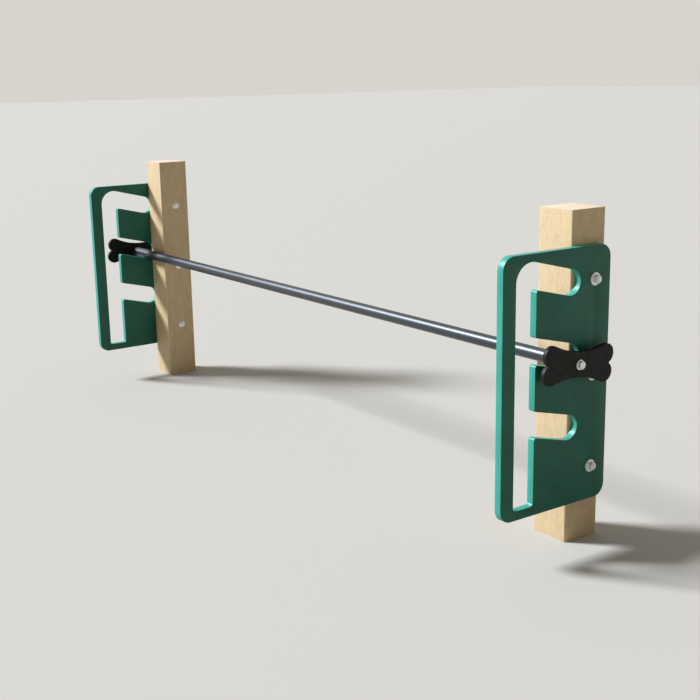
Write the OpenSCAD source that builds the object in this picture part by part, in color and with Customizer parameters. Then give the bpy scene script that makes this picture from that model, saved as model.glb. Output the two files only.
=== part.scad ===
// Adjustable dog agility jump: two posts, each with a slotted panel, and a loose bar across the slots.
// Millimetres, +Z up. X runs along the bar, -Y is the side the bar is lifted out to, Z = 0 is the ground.
// The origin is on the ground, halfway between the ends of the bar and halfway between the front
// and back of the panels.

/* [Posts] */
// Side of each square post
post_w = 89; // [80:1:100]
// Height of each post above the ground
post_h = 664; // [640:1:900]
// Clear width between the two posts
clear_w = 1626; // [1000:1:2400]
// Radius along the long edges of a post
post_edge_r = 4; // [2:1:8]

/* [Slotted panels] */
// Thickness of the panel sheet
panel_t = 16; // [12:1:19]
// Width of a panel, front to back
panel_w = 278; // [270:1:290]
// Height of a panel
panel_h = 508; // [500:1:520]
// Height of the panel's lower edge above the ground
panel_z = 88; // [60:1:110]
// Outer corner radius of a panel
panel_r = 26; // [20:1:32]
// Width of the upright strip in front of the channel
strip_w = 32.5; // [30:0.5:36]
// Width of the upright channel
channel_w = 51; // [45:1:52]
// Height of the rail below the channel
rail_h = 19; // [16:1:24]
// Radius of the channel's upper front corner
channel_top_r = 39; // [30:1:39]
// Radius of the channel's lower corners
channel_low_r = 7; // [4:1:12]

/* [Slots] */
// Height of a slot across its length
slot_w = 50; // [44:1:52]
// Height difference from one slot to the next
slot_pitch = 142; // [138:1:146]
// Angle at which the slots fall towards the post
slot_fall = 14; // [10:1:16]
// Height of the top slot's upper edge at its mouth
slot_top_z = 579; // [574:1:582]
// Gap between a slot's round end and the back of the panel
slot_back = 80; // [76:1:90]
// Radius of the rounded tips of the teeth
tooth_r = 5; // [3:1:8]

/* [Panel fasteners] */
// Diameter of the carriage bolts
bolt_d = 9.5; // [8:0.5:10]
// Height of the middle bolt
bolt_mid_z = 344; // [330:1:350]
// Height difference from one bolt to the next
bolt_pitch = 187; // [180:1:190]
// Distance of the bolts behind the centre of the post
bolt_off = 3; // [0:1:6]
// Diameter of the carriage bolts' domed heads
dome_d = 21.4; // [18:0.1:24]
// Height of the domed heads
dome_h = 5; // [4:0.5:6]
// Length of the square neck below a domed head
neck_l = 5.5; // [4:0.5:7]
// Outer diameter of the washers
washer_d = 25.4; // [22:0.1:26]
// Thickness of the washers
washer_t = 2.1; // [1.5:0.1:2.5]
// Width of the hexagon nuts and bolt heads across their flats
hex_af = 14.3; // [13:0.1:15]
// Thickness of the hexagon nuts
nut_t = 8.3; // [7:0.1:9]
// Length of bolt left standing out of a nut
bolt_tip = 2.4; // [2:0.1:2.6]

/* [Bar] */
// Outer diameter of the tube
tube_d = 26.7; // [24:0.1:30]
// Wall of the tube
tube_wall = 2.9; // [2:0.1:3.5]
// Gap between the right panel and the bone beside it, at rest
bone_gap = 17; // [16:1:20]
// Distance the bar can move endways to the right
end_play = 50; // [20:1:60]
// Gap left below the tube in its slot
seat_gap = 0.3; // [0.1:0.1:0.5]
// Length of the threaded insert in each end of the tube
insert_l = 45; // [40:1:60]
// Closed end left inside each insert
insert_floor = 8; // [5:1:10]

/* [Bones] */
// Distance between the centres of the lobes, along the bone
bone_l = 142; // [130:1:150]
// Distance between the centres of the lobes, across the bone
bone_w = 36; // [32:1:40]
// Radius of each lobe
lobe_r = 20; // [19:1:22]
// Height of the bone at its waist
waist_h = 50; // [44:1:54]
// Thickness of the bone
bone_t = 10; // [8:1:12]
// Angle by which the front of each bone is raised
bone_tilt = 6; // [0:1:12]
// Running gap at each face of a bone
bone_play = 0.25; // [0.2:0.05:0.3]
// Thickness of the hexagon head of a bone bolt
head_t = 6; // [5:0.5:7]
// Outer diameter of the washer under a bone bolt's head
bone_washer_d = 20; // [18:0.5:25]

/* [Hidden] */
SIDES = ["right", "left"];
LEVELS = ["top", "middle", "bottom"];
$fn = 64;
FOREST = "#24483b";
TAN = "#c9ac84";
BLACK = "#1a1a1c";
ZINC = "#a9adb0";

panel_front = -panel_w / 2;
panel_back = panel_w / 2;
post_y = panel_back - post_w / 2;
stations_x = end_play / 2;
post_x = (clear_w + post_w) / 2;
outer_face = post_x + post_w / 2;
panel_face = outer_face + panel_t;

channel_y0 = panel_front + strip_w;
channel_y1 = channel_y0 + channel_w;
slot_end_y = panel_back - slot_back - slot_w / 2;
function slot_mouth_z(k) = slot_top_z - slot_rise - k * slot_pitch;
function slot_end_z(k) = slot_mouth_z(k) - (slot_end_y - channel_y1) * tan(slot_fall);
slot_rise = slot_w / 2 / cos(slot_fall);
slot_steps = 36;
corner_steps = 12;

bolt_y = post_y + bolt_off;
function bolt_z(k) = bolt_mid_z + (1 - k) * bolt_pitch;
bolt_l = post_w + panel_t + washer_t + nut_t + bolt_tip;
clear_hole_d = bolt_d + 0.6;
hex_w = hex_af / cos(30);

tube_r = tube_d / 2;
bar_y = slot_end_y;
bar_z = slot_end_z(1) - slot_w / 2 + tube_r + seat_gap;
insert_r = tube_r - tube_wall;
bone_run_r = bolt_d / 2 + 0.08;
// The right bone stands bone_gap off its panel and the left one end_play more
bone_x = [stations_x + panel_face + bone_gap, stations_x - panel_face - bone_gap - end_play];
head_x = bone_t + bone_play + washer_t;
bone_bolt_in = insert_l - insert_floor - 2;
tube_x0 = bone_x[1] + bone_play;
tube_x1 = bone_x[0] - bone_play;
waist_r = (pow(bone_l / 2, 2) + pow((waist_h - bone_w) / 2, 2) - pow(lobe_r, 2))
    / (2 * (lobe_r - (waist_h - bone_w) / 2));

// Turns a profile drawn in Y and Z into a plate that starts at x and is t thick
module plate(x, t) translate([x, 0, 0]) rotate([90, 0, 90]) linear_extrude(t) children();

// A cylinder along X that starts at x on the axis (y, z)
module rod(x, y, z, l, d, sides = 48)
    translate([x, y, z]) rotate([0, 90, 0]) cylinder(h = l, d = d, $fn = sides);

// Mirrors its children to the left station, about the middle of the stations
module station(side)
    translate([stations_x, 0, 0]) mirror([side == "left" ? 1 : 0, 0, 0]) children();

module rounded_rect(w, h, r) {
    translate([r, 0]) square([w - 2 * r, h]);
    translate([0, r]) square([w, h - 2 * r]);
    for (y = [r, w - r], z = [r, h - r]) translate([y, z]) circle(r);
}

function arc(centre, r, from, to, steps) =
    [for (i = [0 : steps]) let (a = from + (to - from) * i / steps) centre + r * [cos(a), sin(a)]];
function round_centre(p, a1, a2, r) =
    p + r / sin((a2 - a1) / 2) * [cos((a1 + a2) / 2), sin((a1 + a2) / 2)];

// A corner at p with edges leaving at angles a1 and a2, rounded anticlockwise or clockwise
function inner_corner(p, a1, a2, r) = arc(round_centre(p, a1, a2, r), r, a2 + 90, a1 + 270, corner_steps);
function tooth_tip(p, a1, a2, r) = arc(round_centre(p, a1, a2, r), r, a1 + 270, a2 + 90, corner_steps);

// One slot, from the lower edge of its mouth round its end and back to the upper edge
function slot_outline(k) = concat(
    tooth_tip([channel_y1, slot_mouth_z(k) - slot_rise], -90, -slot_fall, tooth_r),
    arc([slot_end_y, slot_end_z(k)], slot_w / 2, -slot_fall - 90, -slot_fall + 90, slot_steps),
    k == 0 ? [] : tooth_tip([channel_y1, slot_mouth_z(k) + slot_rise], -slot_fall, 90, tooth_r)
);

// The upright channel with its three slots; its top follows the top slot's upper edge
channel_low = panel_z + rail_h;
channel_outline = concat(
    inner_corner([channel_y0, channel_low], 0, 90, channel_low_r),
    inner_corner([channel_y1, channel_low], 90, 180, channel_low_r),
    [for (k = [2, 1, 0]) each slot_outline(k)],
    inner_corner([channel_y0, slot_top_z + channel_w * tan(slot_fall)], -90, -slot_fall, channel_top_r)
);

module panel_profile() {
    difference() {
        translate([panel_front, panel_z]) rounded_rect(panel_w, panel_h, panel_r);
        polygon(channel_outline);
        for (k = [0 : 2]) translate([bolt_y, bolt_z(k)]) circle(d = clear_hole_d);
    }
}

module post() {
    color(TAN) difference() {
        translate([post_x - post_w / 2, post_y - post_w / 2, 0])
            linear_extrude(post_h) rounded_rect(post_w, post_w, post_edge_r);
        for (k = [0 : 2]) {
            rod(post_x - post_w / 2 - 1, bolt_y, bolt_z(k), post_w + 2, clear_hole_d);
            translate([post_x - post_w / 2 - 1, bolt_y - bolt_d / 2, bolt_z(k) - bolt_d / 2])
                cube([neck_l + 1, bolt_d, bolt_d]);
        }
    }
}

module panel() color(FOREST) plate(outer_face, panel_t) panel_profile();

// Domed head on the inner face of the post, square neck, and a shank out through the panel
module carriage_bolt(k) {
    dome_r = (pow(dome_d / 2, 2) + pow(dome_h, 2)) / (2 * dome_h);
    inner_face = post_x - post_w / 2;
    color(ZINC) union() {
        translate([inner_face, bolt_y, bolt_z(k)]) rotate([0, -90, 0]) rotate_extrude()
            intersection() {
                translate([0, dome_h - dome_r]) circle(dome_r, $fn = 96);
                square([dome_d, dome_h]);
            }
        translate([inner_face, bolt_y - bolt_d / 2, bolt_z(k) - bolt_d / 2]) cube([neck_l, bolt_d, bolt_d]);
        rod(inner_face, bolt_y, bolt_z(k), bolt_l, bolt_d);
    }
}

module washer(x, y, z, d, hole) color(ZINC) difference() {
    rod(x, y, z, washer_t, d);
    rod(x - 1, y, z, washer_t + 2, hole);
}

module nut(x, y, z) color(ZINC) difference() {
    rod(x, y, z, nut_t, hex_w, 6);
    rod(x - 1, y, z, nut_t + 2, bolt_d + 0.1);
}

module panel_washer(k) washer(panel_face, bolt_y, bolt_z(k), washer_d, clear_hole_d);
module panel_nut(k) nut(panel_face + washer_t, bolt_y, bolt_z(k));

module bar_tube() color(BLACK) difference() {
    rod(tube_x0, bar_y, bar_z, tube_x1 - tube_x0, tube_d, 96);
    rod(tube_x0 - 1, bar_y, bar_z, tube_x1 - tube_x0 + 2, 2 * insert_r, 96);
}

// Places an end fitting drawn at x = 0 pointing along +X on the right or left end of the bar
module bar_end(side)
    translate([side == "right" ? bone_x[0] : bone_x[1], bar_y, bar_z])
        mirror([side == "left" ? 1 : 0, 0, 0]) children();

module bar_insert() color(ZINC) difference() {
    rod(-bone_play - insert_l, 0, 0, insert_l, 2 * insert_r);
    rod(-bone_play - insert_l + insert_floor, 0, 0, insert_l, bolt_d + 0.1);
}

module bone_profile() {
    tangent = lobe_r / (lobe_r + waist_r);
    half_l = bone_l / 2 * (1 - tangent);
    half_h = bone_w / 2 + (waist_h / 2 + waist_r - bone_w / 2) * tangent;
    difference() {
        translate([-half_l, -half_h]) square([2 * half_l, 2 * half_h]);
        for (s = [-1, 1]) translate([0, s * (waist_h / 2 + waist_r)]) circle(waist_r, $fn = 360);
    }
    for (y = [-1, 1]) {
        for (z = [-1, 1]) translate([y * bone_l / 2, z * bone_w / 2]) circle(lobe_r);
        translate([(y - 1) * bone_l / 4, -bone_w / 2]) square([bone_l / 2, bone_w]);
    }
}

module bone() color(BLACK) plate(0, bone_t) rotate(-bone_tilt) difference() {
    bone_profile();
    circle(bone_run_r);
}

module bone_washer() washer(bone_t + bone_play, 0, 0, bone_washer_d, clear_hole_d);

module bone_bolt() color(ZINC) union() {
    rod(head_x, 0, 0, head_t, hex_w, 6);
    rod(-bone_bolt_in, 0, 0, bone_bolt_in + head_x + head_t / 2, bolt_d);
}

module show(name) children();

for (s = SIDES) {
    show(str("post_", s)) station(s) post();
    show(str("panel_", s)) station(s) panel();
    for (k = [0 : 2]) {
        show(str("carriage_bolt_", s, "_", LEVELS[k])) station(s) carriage_bolt(k);
        show(str("panel_washer_", s, "_", LEVELS[k])) station(s) panel_washer(k);
        show(str("panel_nut_", s, "_", LEVELS[k])) station(s) panel_nut(k);
    }
    show(str("bar_insert_", s)) bar_end(s) bar_insert();
    show(str("bone_", s)) bar_end(s) bone();
    show(str("bone_washer_", s)) bar_end(s) bone_washer();
    show(str("bone_bolt_", s)) bar_end(s) bone_bolt();
}
show("bar_tube") bar_tube();
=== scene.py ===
"""Looks of the dog agility jump: detailed meshes, materials, floor, light and camera. All in metres."""

import math

import bmesh
import bpy
from mathutils import Matrix, Vector, noise


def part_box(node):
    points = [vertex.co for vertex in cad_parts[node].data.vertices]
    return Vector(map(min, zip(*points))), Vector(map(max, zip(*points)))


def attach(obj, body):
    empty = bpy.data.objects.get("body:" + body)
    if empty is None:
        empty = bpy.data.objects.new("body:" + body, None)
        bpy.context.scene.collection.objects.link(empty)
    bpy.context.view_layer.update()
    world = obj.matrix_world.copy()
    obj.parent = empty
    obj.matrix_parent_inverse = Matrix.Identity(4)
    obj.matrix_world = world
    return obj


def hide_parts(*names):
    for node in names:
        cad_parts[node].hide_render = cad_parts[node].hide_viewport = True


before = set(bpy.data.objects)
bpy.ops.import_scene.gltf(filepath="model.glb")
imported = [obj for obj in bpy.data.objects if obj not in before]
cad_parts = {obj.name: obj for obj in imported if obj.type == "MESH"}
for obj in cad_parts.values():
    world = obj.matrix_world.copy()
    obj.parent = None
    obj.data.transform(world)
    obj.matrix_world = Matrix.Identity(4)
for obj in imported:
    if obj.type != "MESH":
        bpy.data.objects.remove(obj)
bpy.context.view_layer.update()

# Camera: where it stands, its turn from +Y towards -X, its dip, its roll, and its lens and sensor in
# millimetres
CAMERA_AT = Vector((2.4746, -1.5552, 0.9251))
CAMERA_TURN = math.radians(54.84)
CAMERA_DIP = math.radians(13.39)
CAMERA_ROLL = math.radians(1.08)
CAMERA_LENS = 60.36
CAMERA_SENSOR = 36

# Key light: the way to it, its strength, its colour and how wide it looks
TOWARDS_KEY = Vector((-1.05, -0.92, 1.05))
KEY_ENERGY = 6.7
KEY_COLOUR = (0.965, 1.0, 1.10)
KEY_WIDTH = math.radians(14)

# Room: its colour, and how bright it is towards and away from its bright side. Low down all round it is
# about as bright as the floor, and this fades out by HORIZON_TOP, the Z of a direction one unit long.
ROOM_COLOUR = (1.0, 0.97, 0.91)
BRIGHT_SIDE = (-0.92, 0.39, 0)
ROOM_BRIGHT = 0.70
ROOM_DIM = 0.16
ROOM_HORIZON = 0.68
HORIZON_TOP = 0.22

# Floor
FLOOR_SIZE = 80
FLOOR_COLOUR = (0.408, 0.392, 0.350)
FLOOR_ROUGHNESS = 0.95

SIDES = {"right": 1, "left": -1}
LEVELS = ("top", "middle", "bottom")

# Edge softening
POST_EDGE = 0.0012
PANEL_EDGE = 0.0018
BONE_EDGE = 0.0026
TUBE_EDGE = 0.0005
INSERT_EDGE = 0.0004
WASHER_EDGE = 0.0003

# Angles, in degrees, by which a surface has to turn at an edge before it counts as an edge at all, and
# before it is rounded off or shaded as sharp
FLAT_TURN = 0.5
SHARP_TURN = 35
SOFTENED_TURN = 24
HEXAGON_TURN = 20

# Fasteners
BOLT_R = 0.00475
DOME_H = 0.005
DOME_STEPS = 14
NECK_L = 0.0055
THREAD_PITCH = 0.0015875
THREAD_DEPTH = 0.0009
THREAD_CHAMFER = 0.8
THREAD_LENGTH = 0.020
BONE_THREAD_LENGTH = 0.022
BONE_HEAD_H = 0.006
NUT_BORE_R = 0.0048
NUT_BEVEL = math.radians(30)
NUT_FACE_INSET = 0.00021
WASHER_BORE_R = BOLT_R + 0.0003

# Tube
TUBE_WALL = 0.0029

# Bone: the spacing and height of its grain, the smooth seat round its bolt, and its bore
BONE_VOXEL = 0.0011
BONE_GRAIN = 0.0035
BONE_RELIEF = 0.00035
SEAT_R = 0.011
SEAT_FADE = 0.004
BONE_BORE_R = 0.0051


def middle(node):
    """The centre of a node's box."""
    low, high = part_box(node)
    return (Vector(low) + Vector(high)) / 2


def round_r(node):
    """The outer radius of a node that is round about a line along the bar."""
    low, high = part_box(node)
    return (high[2] - low[2]) / 2


def across_flats(node):
    """The width across the flats of a hexagonal node."""
    low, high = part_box(node)
    return min(high[1] - low[1], high[2] - low[2])


def new_object(name, mesh, body, replaced, material):
    """A finished piece: in the scene, on its body, standing for its CAD node, with its material."""
    piece = bpy.data.objects.new(name, mesh)
    bpy.context.scene.collection.objects.link(piece)
    mesh.materials.clear()
    mesh.materials.append(material)
    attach(piece, body)
    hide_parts(replaced)


def mesh_from(name, bm, smooth_turn=SHARP_TURN):
    """A mesh from a bmesh: normals outward, shaded smooth where it turns by less than smooth_turn."""
    bmesh.ops.remove_doubles(bm, verts=bm.verts, dist=1e-6)
    bmesh.ops.recalc_face_normals(bm, faces=bm.faces)
    for face in bm.faces:
        face.smooth = True
    limit = math.radians(smooth_turn)
    for edge in bm.edges:
        edge.smooth = len(edge.link_faces) == 2 and edge.calc_face_angle(math.pi) < limit
    mesh = bpy.data.meshes.new(name)
    bm.to_mesh(mesh)
    bm.free()
    return mesh


def softened(node, edge, segments=4):
    """The CAD node's own shape with its sharp edges rounded to the radius edge."""
    bm = bmesh.new()
    bm.from_mesh(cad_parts[node].data)
    bmesh.ops.remove_doubles(bm, verts=bm.verts, dist=1e-6)
    bmesh.ops.dissolve_limit(bm, angle_limit=math.radians(FLAT_TURN), verts=bm.verts, edges=bm.edges)
    bm.normal_update()
    limit = math.radians(SHARP_TURN)
    sharp = [e for e in bm.edges if len(e.link_faces) == 2 and e.calc_face_angle(0) > limit]
    bmesh.ops.bevel(bm, geom=sharp, offset=edge, offset_type="OFFSET", segments=segments,
                    profile=0.5, affect="EDGES", clamp_overlap=True)
    return mesh_from(node, bm, SOFTENED_TURN)


def round_angles(segments):
    """The angles of evenly spaced points round a circle."""
    return [2 * math.pi * i / segments for i in range(segments)]


def point_at(bm, x, r, angle):
    """A new point at x along the X axis and r away from it."""
    return bm.verts.new((x, r * math.cos(angle), r * math.sin(angle)))


def join(bm, one, two):
    """Faces between two closed rows of points."""
    count = len(one)
    for i in range(count):
        j = (i + 1) % count
        bm.faces.new([one[i], one[j], two[j], two[i]])


def revolve(bm, profile, segments):
    """Turns a closed profile of (x, radius) points round the X axis."""
    rings = [[point_at(bm, x, r, angle) for angle in round_angles(segments)] for x, r in profile]
    for one, two in zip(rings, rings[1:] + rings[:1]):
        join(bm, one, two)


def threads(bm, x0, x1, r, segments=32, steps=8):
    """A threaded stretch of rod from x0 to x1, chamfered at x1."""
    count = max(2, round((x1 - x0) / THREAD_PITCH * steps))
    rings = []
    for k in range(count + 1):
        x = x0 + (x1 - x0) * k / count
        chamfer = max(0.0, THREAD_PITCH - (x1 - x)) * THREAD_CHAMFER
        ring = []
        for i, angle in enumerate(round_angles(segments)):
            phase = (x / THREAD_PITCH + i / segments) % 1
            ridge = abs(2 * phase - 1)
            ring.append(point_at(bm, x, r - THREAD_DEPTH * (1 - ridge) - chamfer * ridge, angle))
        rings.append(ring)
    for one, two in zip(rings, rings[1:]):
        join(bm, one, two)
    bm.faces.new(rings[0])
    bm.faces.new(rings[-1])


def hexagon(bm, x0, length, flats, bore_r, segments=72):
    """A hexagon from x0, flats wide, bevelled round both faces, with a bore if bore_r isn't 0."""
    x1 = x0 + length
    face_r = flats / 2 - NUT_FACE_INSET
    columns = []
    for angle in round_angles(segments):
        turn = (angle + math.pi / 6) % (math.pi / 3) - math.pi / 6
        side_r = flats / 2 / math.cos(turn)
        drop = (side_r - face_r) * math.tan(NUT_BEVEL)
        profile = [(x0, bore_r), (x0, face_r), (x0 + drop, side_r), (x1 - drop, side_r), (x1, face_r),
                   (x1, bore_r)]
        columns.append([point_at(bm, x, r, angle) for x, r in profile])
    for one, two in zip(columns, columns[1:] + columns[:1]):
        join(bm, one, two)


def block(bm, low, high):
    """A plain box between two corners."""
    centre = (Vector(low) + Vector(high)) / 2
    extent = Vector(high) - Vector(low)
    place = Matrix.Translation(centre) @ Matrix.Diagonal((*extent, 1))
    bmesh.ops.create_cube(bm, size=1, matrix=place)


def placed(node, side, build, smooth_turn=SHARP_TURN):
    """Builds a fitting along +X from its inner end and sets it in its CAD node's place, pointing outward."""
    low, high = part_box(node)
    centre = middle(node)
    bm = bmesh.new()
    build(bm, high[0] - low[0])
    start = low[0] if side > 0 else high[0]
    place = Matrix.Translation((start, centre.y, centre.z)) @ Matrix.Diagonal((side, 1, 1, 1))
    bmesh.ops.transform(bm, matrix=place, verts=bm.verts)
    return mesh_from(node, bm, smooth_turn)


def nodes_of(name):
    """A fresh material with its node tree, principled shader and object coordinates."""
    material = bpy.data.materials.new(name)
    material.use_nodes = True
    tree = material.node_tree
    shader = tree.nodes["Principled BSDF"]
    place = tree.nodes.new("ShaderNodeTexCoord").outputs["Object"]
    return material, tree, shader, place


def noise_of(tree, place, scale, detail=4, stretch=(1, 1, 1), roughness=0.55):
    """Noise over the object's own coordinates, stretched along its axes."""
    mapping = tree.nodes.new("ShaderNodeMapping")
    mapping.inputs["Scale"].default_value = stretch
    tree.links.new(place, mapping.inputs["Vector"])
    texture = tree.nodes.new("ShaderNodeTexNoise")
    texture.inputs["Scale"].default_value = scale
    texture.inputs["Detail"].default_value = detail
    texture.inputs["Roughness"].default_value = roughness
    tree.links.new(mapping.outputs["Vector"], texture.inputs["Vector"])
    return texture.outputs["Fac"]


def ramp(tree, factor, *stops):
    """Colours by factor; each stop is (position, colour)."""
    node = tree.nodes.new("ShaderNodeValToRGB")
    elements = node.color_ramp.elements
    elements[0].position, elements[0].color = stops[0][0], (*stops[0][1], 1)
    elements[1].position, elements[1].color = stops[-1][0], (*stops[-1][1], 1)
    for position, colour in stops[1:-1]:
        elements.new(position).color = (*colour, 1)
    tree.links.new(factor, node.inputs["Fac"])
    return node.outputs["Color"]


def grey_ramp(tree, factor, *stops):
    """Grey levels by factor; each stop is (position, level)."""
    return ramp(tree, factor, *((position, (level, level, level)) for position, level in stops))


def blend_colours(tree, factor, base, over):
    """Two colour outputs mixed by a factor output."""
    mix = tree.nodes.new("ShaderNodeMix")
    mix.data_type = "RGBA"
    tree.links.new(factor, mix.inputs["Factor"])
    tree.links.new(base, mix.inputs["A"])
    tree.links.new(over, mix.inputs["B"])
    return mix.outputs["Result"]


def bump(tree, shader, height, strength, distance, under=None):
    """Surface relief from a height output, on top of another bump if one is given."""
    node = tree.nodes.new("ShaderNodeBump")
    node.inputs["Strength"].default_value = strength
    node.inputs["Distance"].default_value = distance
    tree.links.new(height, node.inputs["Height"])
    if under:
        tree.links.new(under, node.inputs["Normal"])
    tree.links.new(node.outputs["Normal"], shader.inputs["Normal"])
    return node.outputs["Normal"]


def facing(tree, axis):
    """1 where the surface faces either way along the axis, and 0 where it is turned well away from it."""
    normal = tree.nodes.new("ShaderNodeTexCoord").outputs["Normal"]
    parts = tree.nodes.new("ShaderNodeSeparateXYZ")
    tree.links.new(normal, parts.inputs["Vector"])
    size = tree.nodes.new("ShaderNodeMath")
    size.operation = "ABSOLUTE"
    tree.links.new(parts.outputs[axis], size.inputs[0])
    span = tree.nodes.new("ShaderNodeMapRange")
    span.inputs["From Min"].default_value = 0.75
    span.inputs["From Max"].default_value = 0.98
    tree.links.new(size.outputs["Value"], span.inputs["Value"])
    return span.outputs["Result"]


def recycled_plastic():
    """Tan recycled-plastic lumber: streaks along the post, fine flecks, a matte skin, and end faces painted
    paler as a painted highlight.
    """
    material, tree, shader, place = nodes_of("recycled_plastic")
    streaks = noise_of(tree, place, 80, detail=6, stretch=(1, 1, 0.30), roughness=0.65)
    flecks = noise_of(tree, place, 260, detail=6, stretch=(1, 1, 0.55), roughness=0.75)
    clouds = noise_of(tree, place, 12, detail=3, stretch=(1, 1, 0.5))
    body = ramp(tree, streaks, (0.28, (0.465, 0.346, 0.194)), (0.52, (0.538, 0.407, 0.234)),
                (0.78, (0.594, 0.458, 0.274)))
    fleck = ramp(tree, clouds, (0.35, (0.355, 0.262, 0.140)), (0.7, (0.455, 0.345, 0.192)))
    mask = grey_ramp(tree, flecks, (0.48, 0), (0.70, 0.85))
    skin = blend_colours(tree, mask, body, fleck)
    # The end faces, up and down, are painted paler: a painted highlight standing for light falling brightly
    # on the top of the post.
    painted_highlight_ends = ramp(tree, flecks, (0.35, (0.650, 0.550, 0.405)), (0.68, (0.540, 0.440, 0.305)))
    colour = blend_colours(tree, facing(tree, "Z"), skin, painted_highlight_ends)
    tree.links.new(colour, shader.inputs["Base Color"])
    shader.inputs["Roughness"].default_value = 0.62
    shader.inputs["Specular IOR Level"].default_value = 0.35
    grain = bump(tree, shader, streaks, 0.5, 0.0012)
    bump(tree, shader, flecks, 0.35, 0.0004, under=grain)
    return material


def green_sheet():
    """Green polyethylene sheet: dark faces with a fine orange-peel texture, and edges painted lighter as
    painted sunlight.
    """
    material, tree, shader, place = nodes_of("green_sheet")
    peel = noise_of(tree, place, 650, detail=3)
    haze = noise_of(tree, place, 14, detail=5)
    face = ramp(tree, haze, (0.30, (0.003, 0.078, 0.046)), (0.70, (0.005, 0.110, 0.067)))
    # The edges and slot walls are painted lighter than the faces: painted light, as if the sun lit the edges
    # and left the faces in shade.
    painted_lit_edge = ramp(tree, haze, (0.30, (0.022, 0.235, 0.180)), (0.70, (0.034, 0.290, 0.225)))
    colour = blend_colours(tree, facing(tree, "X"), painted_lit_edge, face)
    tree.links.new(colour, shader.inputs["Base Color"])
    gloss = grey_ramp(tree, haze, (0.30, 0.36), (0.75, 0.50))
    tree.links.new(gloss, shader.inputs["Roughness"])
    shader.inputs["Specular IOR Level"].default_value = 0.36
    bump(tree, shader, peel, 0.30, 0.0004)
    return material


def black_tube():
    """Glossy black powder coat, with a slight ripple and a blue-white shine."""
    material, tree, shader, place = nodes_of("black_tube")
    ripple = noise_of(tree, place, 180, detail=3)
    dust = noise_of(tree, place, 20, detail=5, stretch=(0.3, 1, 1))
    colour = ramp(tree, dust, (0.3, (0.008, 0.008, 0.010)), (0.8, (0.018, 0.019, 0.022)))
    tree.links.new(colour, shader.inputs["Base Color"])
    gloss = grey_ramp(tree, dust, (0.3, 0.35), (0.8, 0.42))
    tree.links.new(gloss, shader.inputs["Roughness"])
    shader.inputs["Specular IOR Level"].default_value = 0.8
    shader.inputs["Specular Tint"].default_value = (0.80, 0.92, 1.0, 1)
    bump(tree, shader, ripple, 0.12, 0.0004)
    return material


def bone_plastic():
    """Near-black moulded plastic with a coarse grain."""
    material, tree, shader, place = nodes_of("bone_plastic")
    grain = noise_of(tree, place, 520, detail=4)
    tone = noise_of(tree, place, 60, detail=4)
    colour = ramp(tree, tone, (0.3, (0.004, 0.0032, 0.0028)), (0.75, (0.014, 0.0105, 0.008)))
    tree.links.new(colour, shader.inputs["Base Color"])
    shader.inputs["Roughness"].default_value = 0.5
    shader.inputs["Specular IOR Level"].default_value = 0.20
    bump(tree, shader, grain, 0.7, 0.0008)
    return material


def zinc():
    """Zinc-plated steel, dulled unevenly."""
    material, tree, shader, place = nodes_of("zinc")
    patches = noise_of(tree, place, 320, detail=5)
    colour = ramp(tree, patches, (0.3, (0.76, 0.77, 0.77)), (0.75, (0.90, 0.90, 0.89)))
    tree.links.new(colour, shader.inputs["Base Color"])
    dullness = grey_ramp(tree, patches, (0.3, 0.38), (0.75, 0.56))
    tree.links.new(dullness, shader.inputs["Roughness"])
    shader.inputs["Metallic"].default_value = 0.75
    bump(tree, shader, patches, 0.2, 0.0002)
    return material


def soft_washer(bm, length, outer_r):
    """A flat washer with its outer rims eased."""
    rim_r = outer_r - WASHER_EDGE
    profile = [(0, WASHER_BORE_R), (0, rim_r), (WASHER_EDGE, outer_r), (length - WASHER_EDGE, outer_r),
               (length, rim_r), (length, WASHER_BORE_R)]
    revolve(bm, profile, segments=72)


def carriage_bolt(bm, length, dome_r):
    """Domed head from x = 0 to the face of the post, square neck, shank and threaded end."""
    ball = (dome_r ** 2 + DOME_H ** 2) / (2 * DOME_H)
    spread = math.asin(dome_r / ball)
    rise = [spread * i / DOME_STEPS for i in range(DOME_STEPS + 1)]
    dome = [(ball - ball * math.cos(angle), ball * math.sin(angle)) for angle in rise]
    revolve(bm, dome + [(DOME_H, 0)], segments=64)
    block(bm, (DOME_H, -BOLT_R, -BOLT_R), (DOME_H + NECK_L, BOLT_R, BOLT_R))
    shank_r = BOLT_R - THREAD_DEPTH
    thread_x = length - THREAD_LENGTH
    shank = [(DOME_H, 0), (DOME_H, shank_r), (thread_x, shank_r), (thread_x, 0)]
    revolve(bm, shank, segments=32)
    threads(bm, thread_x, length, BOLT_R)


def bone_bolt(bm, length, flats):
    """Threaded shank from x = 0, plain shoulder through the bone, hexagon head at the outer end."""
    head_x = length - BONE_HEAD_H
    threads(bm, 0, BONE_THREAD_LENGTH, BOLT_R)
    shoulder = [(BONE_THREAD_LENGTH, 0), (BONE_THREAD_LENGTH, BOLT_R), (head_x, BOLT_R), (head_x, 0)]
    revolve(bm, shoulder, segments=48)
    hexagon(bm, head_x, BONE_HEAD_H, flats, 0)


def tube(bm, length, outer_r):
    """A round tube with the rims of both ends eased."""
    inner_r = outer_r - TUBE_WALL
    e = TUBE_EDGE
    profile = [(0, inner_r + e), (0, outer_r - e), (e, outer_r), (length - e, outer_r),
               (length, outer_r - e), (length, inner_r + e), (length - e, inner_r), (e, inner_r)]
    revolve(bm, profile, segments=128)


def build_posts(material):
    """Both posts, with softened edges."""
    for name in SIDES:
        node = f"post_{name}"
        mesh = softened(node, POST_EDGE)
        new_object(f"{node}_lumber", mesh, "stations", node, material)


def build_panels(material):
    """Both slotted panels, with softened edges."""
    for name in SIDES:
        node = f"panel_{name}"
        mesh = softened(node, PANEL_EDGE)
        new_object(f"{node}_sheet", mesh, "stations", node, material)


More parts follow.
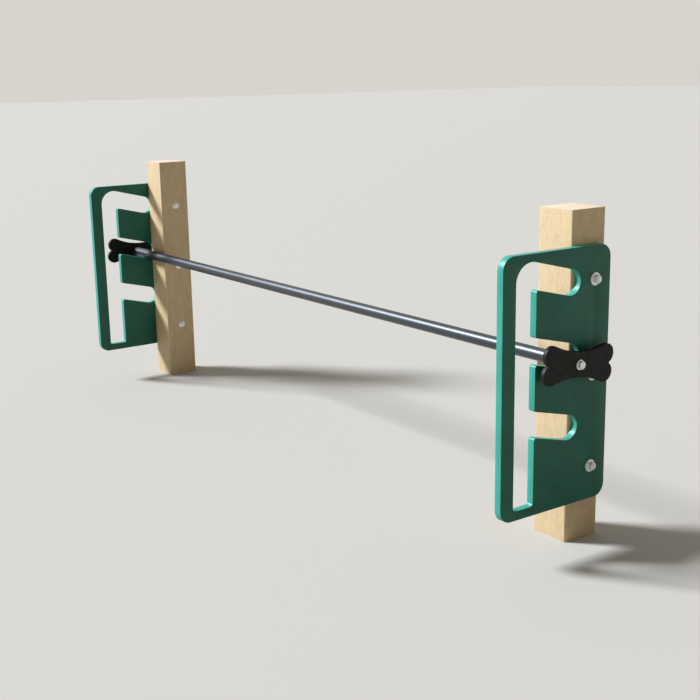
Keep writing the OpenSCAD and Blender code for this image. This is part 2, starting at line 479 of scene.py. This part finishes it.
def build_bolt(node, side, material):
    """One of the bolts that hold a panel to its post."""
    dome_r = round_r(node)
    mesh = placed(node, side, lambda bm, length: carriage_bolt(bm, length, dome_r))
    new_object(f"{node}_detail", mesh, "stations", node, material)


def build_washer(node, side, body, material):
    """One washer, under a nut or under the head of a bone's bolt."""
    outer_r = round_r(node)
    mesh = placed(node, side, lambda bm, length: soft_washer(bm, length, outer_r))
    new_object(f"{node}_detail", mesh, body, node, material)


def build_nut(node, side, material):
    """One of the nuts on the outer face of a panel."""
    flats = across_flats(node)
    mesh = placed(node, side, lambda bm, length: hexagon(bm, 0, length, flats, NUT_BORE_R), HEXAGON_TURN)
    new_object(f"{node}_detail", mesh, "stations", node, material)


def build_panel_fasteners(material):
    """Three bolts, washers and nuts on each station."""
    for name, side in SIDES.items():
        for level in LEVELS:
            build_bolt(f"carriage_bolt_{name}_{level}", side, material)
            build_washer(f"panel_washer_{name}_{level}", side, "stations", material)
            build_nut(f"panel_nut_{name}_{level}", side, material)


def build_bar(coat, metal):
    """The tube, and at each end its insert and the washer and bolt that hold the bone."""
    outer_r = round_r("bar_tube")
    mesh = placed("bar_tube", 1, lambda bm, length: tube(bm, length, outer_r))
    new_object("bar_tube_coated", mesh, "bar", "bar_tube", coat)
    for name, side in SIDES.items():
        insert = f"bar_insert_{name}"
        mesh = softened(insert, INSERT_EDGE, segments=2)
        new_object(f"{insert}_detail", mesh, "bar", insert, metal)
        build_washer(f"bone_washer_{name}", side, "bar", metal)
        bolt = f"bone_bolt_{name}"
        flats = across_flats(bolt)
        mesh = placed(bolt, side, lambda bm, length: bone_bolt(bm, length, flats), HEXAGON_TURN)
        new_object(f"{bolt}_detail", mesh, "bar", bolt, metal)


def evenly_meshed(name, mesh):
    """The same solid rebuilt from small even faces."""
    rough = bpy.data.objects.new(name, mesh)
    bpy.context.scene.collection.objects.link(rough)
    remesh = rough.modifiers.new("even", "REMESH")
    remesh.mode = "VOXEL"
    remesh.voxel_size = BONE_VOXEL
    graph = bpy.context.evaluated_depsgraph_get()
    even = bpy.data.meshes.new_from_object(rough.evaluated_get(graph))
    bpy.data.objects.remove(rough)
    return even


def grained(name, mesh, seat):
    """The bone with a moulded grain, made by moving each point of an even mesh in or out a little.

    The grain fades out near seat, where bolt and washer bear on the bone, and the bore is made round again.
    """
    even = evenly_meshed(name, mesh)
    smooth = [(vertex.co.copy(), vertex.normal.copy()) for vertex in even.vertices]
    for vertex, (point, outward) in zip(even.vertices, smooth):
        across = Vector((0, point.y - seat.y, point.z - seat.z))
        reach = across.length
        relief = BONE_RELIEF * min(1, max(0, (reach - SEAT_R) / SEAT_FADE))
        vertex.co = point + outward * noise.noise(point / BONE_GRAIN) * relief
        if reach < BONE_BORE_R:
            vertex.co += across * (BONE_BORE_R / reach - 1)
    for polygon in even.polygons:
        polygon.use_smooth = True
    return even


def build_bones(material):
    """Both bone-shaped end stops."""
    for name in SIDES:
        node = f"bone_{name}"
        mesh = grained(node, softened(node, BONE_EDGE), middle(node))
        new_object(f"{node}_moulding", mesh, node, node, material)


def plain(name, colour, roughness):
    """A material of one colour, for the floor."""
    material = bpy.data.materials.new(name)
    material.use_nodes = True
    shader = material.node_tree.nodes["Principled BSDF"]
    shader.inputs["Base Color"].default_value = (*colour, 1)
    shader.inputs["Roughness"].default_value = roughness
    return material


def side_strength(tree, direction):
    """The room's brightness by direction, from ROOM_DIM to ROOM_BRIGHT."""
    towards = tree.nodes.new("ShaderNodeVectorMath")
    towards.operation = "DOT_PRODUCT"
    tree.links.new(direction, towards.inputs[0])
    towards.inputs[1].default_value = BRIGHT_SIDE
    strength = tree.nodes.new("ShaderNodeMapRange")
    strength.inputs["From Min"].default_value = -1
    strength.inputs["To Min"].default_value = ROOM_DIM
    strength.inputs["To Max"].default_value = ROOM_BRIGHT
    tree.links.new(towards.outputs["Value"], strength.inputs["Value"])
    return strength.outputs["Result"]


def above_horizon(tree, direction):
    """0 at the horizon and below it, rising to 1 at HORIZON_TOP."""
    parts = tree.nodes.new("ShaderNodeSeparateXYZ")
    tree.links.new(direction, parts.inputs["Vector"])
    height = tree.nodes.new("ShaderNodeMapRange")
    height.interpolation_type = "SMOOTHSTEP"
    height.inputs["From Max"].default_value = HORIZON_TOP
    tree.links.new(parts.outputs["Z"], height.inputs["Value"])
    return height.outputs["Result"]


def light_room():
    """Pale surroundings, as bright as the floor at the horizon and uneven higher up."""
    world = bpy.data.worlds.new("pale_room")
    bpy.context.scene.world = world
    world.use_nodes = True
    tree = world.node_tree
    direction = tree.nodes.new("ShaderNodeTexCoord").outputs["Generated"]
    blend = tree.nodes.new("ShaderNodeMix")
    tree.links.new(above_horizon(tree, direction), blend.inputs["Factor"])
    blend.inputs["A"].default_value = ROOM_HORIZON
    tree.links.new(side_strength(tree, direction), blend.inputs["B"])
    background = tree.nodes["Background"]
    background.inputs["Color"].default_value = (*ROOM_COLOUR, 1)
    tree.links.new(blend.outputs["Result"], background.inputs["Strength"])


def build_stage():
    """Pale floor, pale surroundings and one soft key from the left front and above."""
    bpy.ops.mesh.primitive_plane_add(size=FLOOR_SIZE, location=(0, 0, 0))
    floor = bpy.context.object
    floor.name = "floor"
    floor.data.materials.append(plain("pale_floor", FLOOR_COLOUR, FLOOR_ROUGHNESS))
    light_room()
    key = bpy.data.lights.new("key", "SUN")
    key.energy = KEY_ENERGY
    key.angle = KEY_WIDTH
    key.color = KEY_COLOUR
    key_object = bpy.data.objects.new("key", key)
    key_object.rotation_euler = TOWARDS_KEY.to_track_quat("Z", "Y").to_euler()
    bpy.context.scene.collection.objects.link(key_object)


def build_camera():
    """The camera, set by its turn, dip and roll."""
    reach = math.cos(CAMERA_DIP)
    ahead = Vector((-math.sin(CAMERA_TURN) * reach, math.cos(CAMERA_TURN) * reach, -math.sin(CAMERA_DIP)))
    level = Vector((math.cos(CAMERA_TURN), math.sin(CAMERA_TURN), 0))
    top = level.cross(ahead)
    right = math.cos(CAMERA_ROLL) * level - math.sin(CAMERA_ROLL) * top
    up = math.sin(CAMERA_ROLL) * level + math.cos(CAMERA_ROLL) * top
    data = bpy.data.cameras.new("camera")
    data.sensor_width = CAMERA_SENSOR
    data.lens = CAMERA_LENS
    camera = bpy.data.objects.new("camera", data)
    turn = Matrix((right, up, -ahead)).transposed()
    camera.matrix_world = Matrix.Translation(CAMERA_AT) @ turn.to_4x4()
    bpy.context.scene.collection.objects.link(camera)
    bpy.context.scene.camera = camera


build_camera()
build_stage()
bpy.context.scene.view_settings.view_transform = "Standard"
metal = zinc()
build_posts(recycled_plastic())
build_panels(green_sheet())
build_panel_fasteners(metal)
build_bar(black_tube(), metal)
build_bones(bone_plastic())
